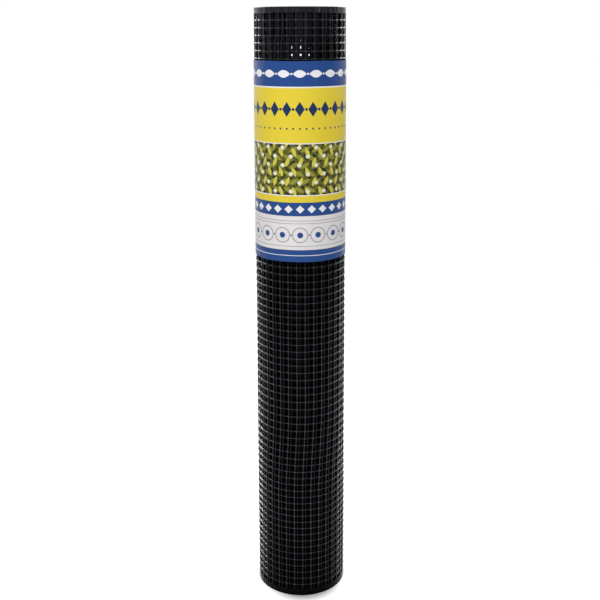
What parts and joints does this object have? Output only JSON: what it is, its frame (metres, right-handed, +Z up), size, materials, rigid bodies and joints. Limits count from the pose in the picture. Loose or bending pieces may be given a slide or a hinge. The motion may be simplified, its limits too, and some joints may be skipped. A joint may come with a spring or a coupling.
{
  "type": "roll of plastic mesh",
  "caption": "Upright roll of black square plastic mesh, wound round an open bore, with solid edge strips and a printed sleeve round its upper part.",
  "frame": {"origin": "middle of the roll's foot, in the plane that it stands on", "axes": "+Z up along the roll's axis, -Y towards the front of the sleeve, the net's cut end at the back"},
  "size_m": [0.139, 0.1398, 0.9144],
  "materials": {
    "black_net": "black extruded polyethylene with a soft gloss",
    "printed_sleeve": "smooth printed sheet in yellow, blue and off-white with a low gloss"
  },
  "bodies": {
    "root": {"net_roll": "black_net", "label_sleeve": "printed_sleeve"}
  },
  "joints": []
}
